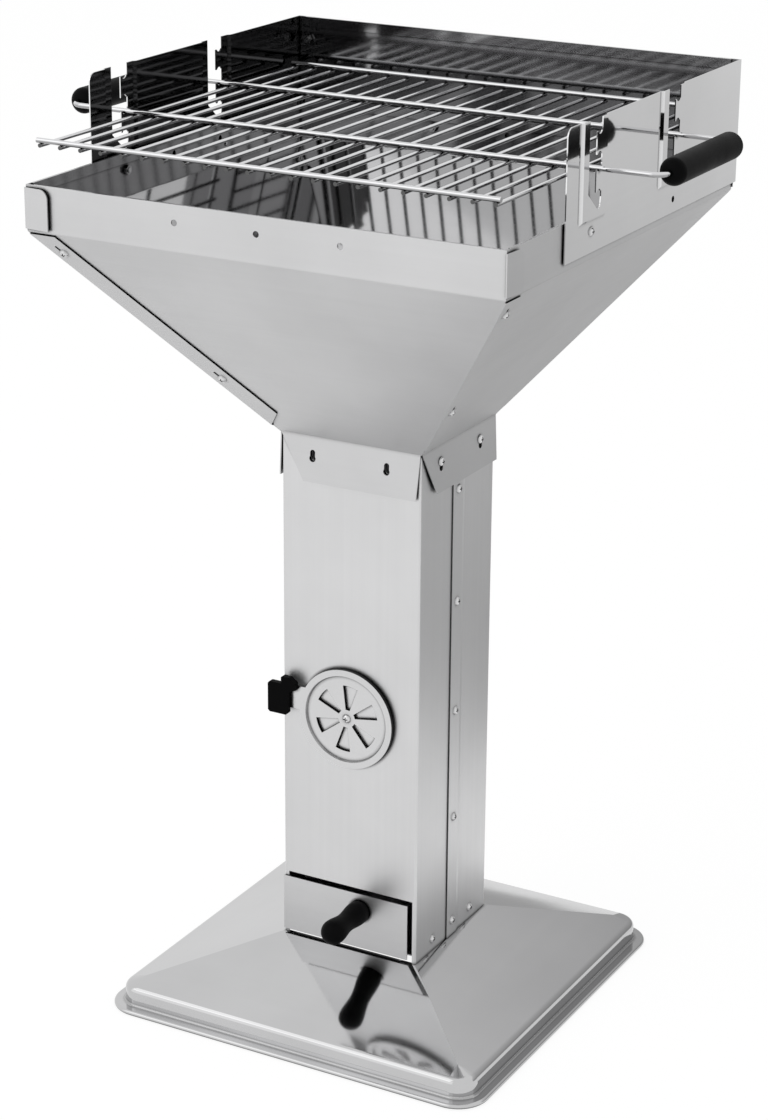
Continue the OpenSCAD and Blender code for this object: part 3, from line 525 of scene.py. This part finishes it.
SHIELD_BACK_STEEL = SteelFinish(
    "shield_back_steel",
    (0.72, 0.72, 0.725),
    0.05,
    Grain.ACROSS,
    wave_depth=0.0002,
    inner_side=Side.INWARD,
    inner_roughness=0.09,
    # The inner faces are painted darker, a painted dark reflection.
    painted_shade_colour=(0.3, 0.3, 0.305),
)
FASTENER_STEEL = SteelFinish(
    "fastener_steel",
    (0.7, 0.7, 0.705),
    0.15,
    Grain.EVEN,
    wave_depth=0.00002,
    # The long reach paints a dark shade ring on the heads' edges and round them.
    painted_shade_reach=0.01,
)
WIRE_CHROME = SteelFinish(
    "wire_chrome",
    (0.68, 0.68, 0.69),
    0.08,
    Grain.EVEN,
    wave_depth=0.00003,
    wave_scale=40.0,
    # The wires' lower sides are painted darker, painted shade and painted dark reflection.
    painted_under_shade=0.5,
)
CROSS_CHROME = SteelFinish(
    "cross_wire_chrome",
    (0.68, 0.68, 0.69),
    0.08,
    Grain.EVEN,
    wave_depth=0.00003,
    wave_scale=40.0,
    inner_side=Side.ENDWAYS,
    inner_roughness=0.4,
    # The wire ends are painted darker, painted shade.
    painted_shade_colour=(0.2, 0.2, 0.2),
    # Their lower sides are painted darker, painted shade and painted dark reflection.
    painted_under_shade=0.45,
)
CHARCOAL_CHROME = SteelFinish(
    "charcoal_wire_chrome",
    (0.55, 0.55, 0.56),
    0.12,
    Grain.EVEN,
    wave_depth=0.00003,
    wave_scale=40.0,
)
GRIP_PLASTIC = PlasticFinish("grip_plastic", (0.003, 0.003, 0.0032), 0.45, 0.035)
TAB_PLASTIC = PlasticFinish("tab_plastic", (0.003, 0.003, 0.0032), 0.55, 0.03)


@dataclass
class SubAssembly:
    """A group of CAD nodes that are dressed together.

    Attributes:
        frame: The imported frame, as it was loaded.
        title: What the log calls the group.
        finishes: The names of the nodes that each finish goes on.
    """

    frame: dict
    title: str = ""
    finishes: dict[Finish, list[str]] = field(default_factory=dict)

    def build(self) -> None:
        """Puts each finish on its nodes' material slots."""
        dressed = 0
        for finish, names in self.finishes.items():
            material = finish.build()
            for name in names:
                mesh = self.frame["nodes"][name].data
                for index in range(len(mesh.materials)):
                    mesh.materials[index] = material
                dressed += 1
        log.info("%s: %d nodes dressed", self.title, dressed)


@dataclass
class Foot(SubAssembly):
    """The pressed foot with its rolled lip."""

    title: str = "foot"
    finishes: dict[Finish, list[str]] = field(default_factory=lambda: {FOOT_STEEL: ["foot"]})


@dataclass
class Column(SubAssembly):
    """The two halves of the column."""

    title: str = "column"
    finishes: dict[Finish, list[str]] = field(
        default_factory=lambda: {COLUMN_STEEL: ["column_front", "column_rear"]}
    )


@dataclass
class AshDrawer(SubAssembly):
    """The front plate and the tray of the ash drawer, and its runners."""

    title: str = "ash drawer"
    finishes: dict[Finish, list[str]] = field(
        default_factory=lambda: {
            DRAWER_STEEL: ["drawer_front"],
            INNER_STEEL: ["drawer_tray", "drawer_runner_left", "drawer_runner_right"],
        }
    )


@dataclass
class Vent(SubAssembly):
    """The rotary air vent and its tab."""

    title: str = "vent"
    finishes: dict[Finish, list[str]] = field(
        default_factory=lambda: {VENT_STEEL: ["vent_disc"], TAB_PLASTIC: ["vent_tab"]}
    )


@dataclass
class Funnel(SubAssembly):
    """The bowl's four folded panels."""

    title: str = "funnel"
    finishes: dict[Finish, list[str]] = field(
        default_factory=lambda: {
            FUNNEL_STEEL: ["funnel_front", "funnel_right", "funnel_back", "funnel_left"]
        }
    )


@dataclass
class WindShield(SubAssembly):
    """The slotted sides and the back of the wind shield."""

    title: str = "wind shield"
    finishes: dict[Finish, list[str]] = field(
        default_factory=lambda: {
            SHIELD_STEEL: ["shield_left", "shield_right"],
            SHIELD_BACK_STEEL: ["shield_back"],
        }
    )


@dataclass
class GratesAndGrips(SubAssembly):
    """The cooking grate, the charcoal grate, the two grips and the drawer's knob."""

    title: str = "grates and grips"
    finishes: dict[Finish, list[str]] = field(
        default_factory=lambda: {
            WIRE_CHROME: ["grate_front_wire", "grate_rear_wire", "grate_bail"],
            CROSS_CHROME: ["grate_cross_wires"],
            CHARCOAL_CHROME: ["charcoal_bars", "charcoal_carriers"],
            GRIP_PLASTIC: ["grip_left", "grip_right", "drawer_knob"],
        }
    )


@dataclass
class Fasteners(SubAssembly):
    """All screws, nuts and washers."""

    title: str = "fasteners"
    finishes: dict[Finish, list[str]] = field(
        default_factory=lambda: {
            FASTENER_STEEL: [
                "column_seam_screws",
                "column_seam_nuts",
                "base_screws",
                "base_nuts",
                "knob_screw",
                "vent_washer",
                "vent_pivot",
                "vent_nut",
                "funnel_seam_screws",
                "funnel_seam_nuts",
                "collar_screws",
                "collar_nuts",
                "shield_screws",
                "shield_nuts",
            ]
        }
    )


def sheet_object(name: str, corners: list[Point], material: bpy.types.Material) -> bpy.types.Object:
    """Makes a flat four-sided sheet for the studio.

    Args:
        name: Name of the object and its mesh.
        corners: The four corners in turn, in metres.
        material: What it is covered with.

    Returns:
        The object, linked to the scene.
    """
    mesh = bpy.data.meshes.new(name)
    mesh.from_pydata(corners, [], [(0, 1, 2, 3)])
    mesh.materials.append(material)
    sheet = bpy.data.objects.new(name, mesh)
    bpy.context.scene.collection.objects.link(sheet)
    return sheet


@dataclass(frozen=True)
class Lamp:
    """A soft rectangular studio lamp that looks at a point.

    Attributes:
        name: The lamp's name.
        place: Where it stands, in metres.
        target: The point that it looks at.
        width: Its width in metres.
        height: Its height in metres.
        power: Its power in watts.
    """

    name: str
    place: Point
    target: Point
    width: float
    height: float
    power: float

    def build(self) -> bpy.types.Object:
        """Makes the lamp and turns it to its target."""
        light = bpy.data.lights.new(self.name, "AREA")
        light.shape = "RECTANGLE"
        light.size = self.width
        light.size_y = self.height
        light.energy = self.power
        lamp = bpy.data.objects.new(self.name, light)
        lamp.visible_camera = False
        lamp.location = self.place
        aim = Vector(self.target) - Vector(self.place)
        lamp.rotation_euler = aim.to_track_quat("-Z", "Y").to_euler()
        bpy.context.scene.collection.objects.link(lamp)
        return lamp


@dataclass(frozen=True)
class GreyCard:
    """A card behind the object that shows only in reflections.

    It is grey below and white on top, and darker from the foot's right edge on.

    Attributes:
        left: Its left edge along X, in metres.
        right: Its right edge along X.
        behind: Its place along Y.
        height: Its height.
        lowest_shade: How bright it is at the floor.
        sideways_fade: Where along X it starts and stops getting darker.
        right_share: Share of its brightness that is left there.
    """

    left: float = -0.2
    right: float = 2.4
    behind: float = 0.6
    height: float = 1.05
    lowest_shade: float = 0.44
    sideways_fade: Fade = (0.1, 0.45)
    right_share: float = 0.82

    def build(self) -> bpy.types.Object:
        """Makes the card, which casts no shadow and lights nothing."""
        material = bpy.data.materials.new("grey_card")
        graph = NodeGraph(material)
        glow = graph.add("ShaderNodeEmission")
        place = graph.split(graph.coordinates())
        upward = graph.spread(place["Z"], self.lowest_shade, 1.0, (0.0, self.height))
        sideways = graph.spread(place["X"], 1.0, self.right_share, self.sideways_fade)
        graph.join(graph.maths("MULTIPLY", upward, sideways), glow.inputs["Strength"])
        graph.finish("ShaderNodeOutputMaterial", glow.outputs[0])
        corners = [
            (self.left, self.behind, 0.0),
            (self.right, self.behind, 0.0),
            (self.right, self.behind, self.height),
            (self.left, self.behind, self.height),
        ]
        card = sheet_object("grey_card", corners, material)
        card.visible_camera = False
        card.visible_diffuse = False
        card.visible_transmission = False
        card.visible_shadow = False
        return card


@dataclass(frozen=True)
class Studio:
    """The pale floor, the white surroundings, the grey card and the lamps.

    Attributes:
        floor_half: Half the floor's width in metres.
        floor_top: The floor's height, just under the foot.
        floor_colour: Colour that takes the shadow.
        floor_shade: Share of the floor's look that takes the shadow.
        floor_glow: Brightness of the rest, which makes the floor white.
        fill: Strength of the surroundings as a light.
        lamps: The lamps.
    """

    floor_half: float = 30.0
    floor_top: float = -0.0004
    floor_colour: tuple[float, float, float, float] = (0.8, 0.8, 0.8, 1.0)
    floor_shade: float = 0.25
    floor_glow: float = 1.18
    fill: float = 0.55
    lamps: tuple[Lamp, ...] = (
        Lamp("low_front", (-1.5, -2.9, 1.1), (0.0, 0.0, 0.45), 4.0, 2.4, 8.0),
        Lamp("high_front", (-1.6, -2.4, 2.9), (0.0, 0.0, 0.7), 3.0, 2.4, 12.0),
    )

    def build_world(self) -> None:
        """Makes surroundings that are white to look at and softer as a light."""
        world = bpy.data.worlds.new("studio")
        graph = NodeGraph(world)
        light = graph.add("ShaderNodeBackground")
        light.inputs["Color"].default_value = WHITE
        light.inputs["Strength"].default_value = self.fill
        white = graph.add("ShaderNodeBackground")
        white.inputs["Color"].default_value = WHITE
        white.inputs["Strength"].default_value = 1.0
        surface = graph.mix_shaders(graph.seen_directly(), light, white)
        graph.finish("ShaderNodeOutputWorld", surface)
        bpy.context.scene.world = world

    def build_floor(self) -> None:
        """Makes the floor: white to look at, with a soft shadow."""
        material = bpy.data.materials.new("floor")
        graph = NodeGraph(material)
        matt = graph.add("ShaderNodeBsdfDiffuse")
        matt.inputs["Color"].default_value = self.floor_colour
        glow = graph.add("ShaderNodeEmission")
        glow.inputs["Strength"].default_value = self.floor_glow
        share = graph.maths("MULTIPLY", graph.seen_directly(), 1.0 - self.floor_shade)
        surface = graph.mix_shaders(share, matt, glow)
        graph.finish("ShaderNodeOutputMaterial", surface)
        half, top = self.floor_half, self.floor_top
        corners = [(-half, -half, top), (half, -half, top), (half, half, top), (-half, half, top)]
        floor = sheet_object("floor", corners, material)

    def build(self) -> None:
        """Makes the world, the floor, the card and the lamps, and keeps colours plain."""
        self.build_world()
        self.build_floor()
        GreyCard().build()
        for lamp in self.lamps:
            lamp.build()
        bpy.context.scene.view_settings.view_transform = "Standard"
        log.info("studio: %d lamps", len(self.lamps))


@dataclass(frozen=True)
class PhotoCamera:
    """The camera that took the photograph, solved from the object's own edges.

    Attributes:
        place: Where it stands, in metres.
        turn: How far it is turned to the left, in radians.
        tilt: How far it looks up, in radians.
        roll: How far it is rolled, in radians.
        focal_px: Its focal length in pixels of the photograph.
        image_height_px: The photograph's height, its longer side.
        sensor: Size of the sensor's longer side in millimetres.
        sight: How far it sees, in metres.
    """

    place: Point = (1.28493, -2.33782, 1.44451)
    turn: float = 0.5042
    tilt: float = -0.3525
    roll: float = 0.0072
    focal_px: float = 2835.26
    image_height_px: float = 1120.0
    sensor: float = 36.0
    sight: float = 100.0

    def axes(self) -> Matrix:
        """Works out the camera's right, up and backward directions as a rotation."""
        ahead = Vector(
            (
                -math.sin(self.turn) * math.cos(self.tilt),
                math.cos(self.turn) * math.cos(self.tilt),
                math.sin(self.tilt),
            )
        )
        level = Vector((math.cos(self.turn), math.sin(self.turn), 0.0))
        above = level.cross(ahead)
        right = math.cos(self.roll) * level + math.sin(self.roll) * above
        up = math.cos(self.roll) * above - math.sin(self.roll) * level
        return Matrix((right, up, -ahead)).transposed().to_4x4()

    def build(self) -> bpy.types.Object:
        """Makes the camera and sets it as the scene's own."""
        data = bpy.data.cameras.new("photo_camera")
        data.sensor_width = self.sensor
        data.lens = self.focal_px / self.image_height_px * self.sensor
        data.clip_end = self.sight
        camera = bpy.data.objects.new("photo_camera", data)
        camera.matrix_world = Matrix.Translation(self.place) @ self.axes()
        bpy.context.scene.collection.objects.link(camera)
        bpy.context.scene.camera = camera
        log.info("camera: %.1f mm lens", data.lens)
        return camera


def main() -> None:
    """Builds and dresses the barbecue, the studio and the camera."""
    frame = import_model()
    PhotoCamera().build()
    for assembly in (Foot, Column, AshDrawer, Vent, Funnel, WindShield, GratesAndGrips, Fasteners):
        assembly(frame).build()
    Studio().build()


if __name__ == "__main__":
    main()
